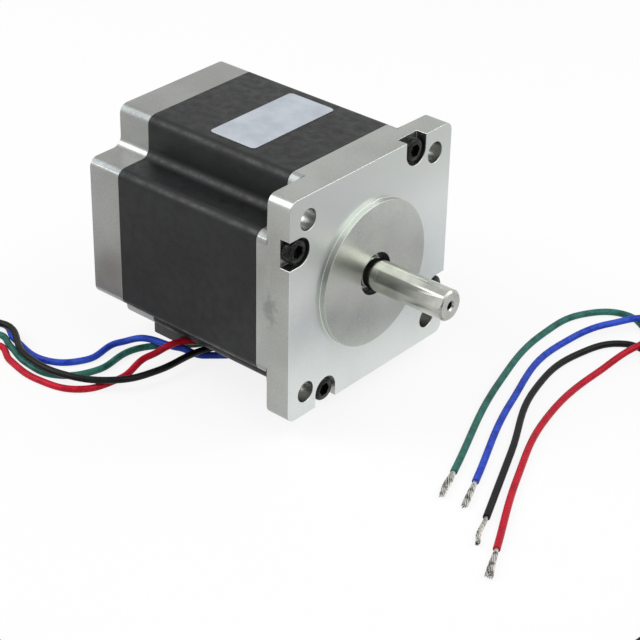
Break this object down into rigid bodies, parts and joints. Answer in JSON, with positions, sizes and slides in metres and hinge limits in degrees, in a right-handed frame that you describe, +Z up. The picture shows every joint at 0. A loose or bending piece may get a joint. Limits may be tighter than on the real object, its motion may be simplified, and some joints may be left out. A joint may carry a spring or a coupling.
{
  "type": "stepper motor",
  "caption": "Stepper motor with a square bolt-on flange, raised pilot, round shaft with one flat, notched laminated body, rear lead outlet and loose stripped leads.",
  "frame": {"origin": "on the shaft axis, in the front face of the square flange", "axes": "+X along the shaft, out of the front; +Z up, away from the lead outlet; +Y to the right seen from the front"},
  "size_m": [0.2052, 0.2081, 0.0652],
  "materials": {
    "bell_metal": "satin machined",
    "stack_black": "satin black paint over laminations",
    "black_steel": "black oxide",
    "label_film": "satin silver, blank",
    "outlet_plastic": "matt",
    "winding_plastic": "matt",
    "enamelled_wire": "glossy enamel",
    "shaft_steel": "ground",
    "rotor_steel": "ground",
    "magnet_metal": "plated",
    "bearing_steel": "polished",
    "cage_brass": "pressed",
    "red_insulation": "satin",
    "green_insulation": "satin",
    "black_insulation": "satin",
    "blue_insulation": "satin",
    "tinned_strands": "tinned"
  },
  "bodies": {
    "frame": {"front_bell": "bell_metal", "stator_stack": "stack_black", "rear_bell": "bell_metal", "tie_screws": "black_steel", "label": "label_film", "lead_outlet": "outlet_plastic", "front_end_plate": "winding_plastic", "rear_end_plate": "winding_plastic", "phase_a_windings": "enamelled_wire", "phase_b_windings": "enamelled_wire", "front_outer_ring": "bearing_steel", "front_shields": "shaft_steel", "rear_outer_ring": "bearing_steel", "rear_shields": "shaft_steel", "wave_washer": "shaft_steel", "red_lead": "red_insulation", "green_lead": "green_insulation", "black_lead": "black_insulation", "blue_lead": "blue_insulation", "red_lead_end": "tinned_strands", "green_lead_end": "tinned_strands", "black_lead_end": "tinned_strands", "blue_lead_end": "tinned_strands"},
    "rotor": {"shaft": "shaft_steel", "front_rotor_cups": "rotor_steel", "rear_rotor_cups": "rotor_steel", "rotor_magnets": "magnet_metal", "rotor_spacer": "rotor_steel", "front_sleeve": "shaft_steel", "rear_sleeve": "shaft_steel", "front_inner_ring": "bearing_steel", "rear_inner_ring": "bearing_steel"},
    "front_cage": {"front_balls": "bearing_steel", "front_ball_cage": "cage_brass"},
    "rear_cage": {"rear_balls": "bearing_steel", "rear_ball_cage": "cage_brass"}
  },
  "joints": [
    {"name": "rotor_spin", "type": "hinge", "parent": "frame", "child": "rotor", "pos_m": [0, 0, 0], "axis": [1, 0, 0], "continuous": true},
    {"name": "front_cage_spin", "type": "hinge", "parent": "frame", "child": "front_cage", "pos_m": [-0.0039, 0, 0], "axis": [1, 0, 0], "continuous": true},
    {"name": "rear_cage_spin", "type": "hinge", "parent": "frame", "child": "rear_cage", "pos_m": [-0.0602, 0, 0], "axis": [1, 0, 0], "continuous": true}
  ],
  "couplings": [
    {"joint": "front_cage_spin", "follows": "rotor_spin", "ratio": 0.3677},
    {"joint": "rear_cage_spin", "follows": "rotor_spin", "ratio": 0.3677}
  ]
}
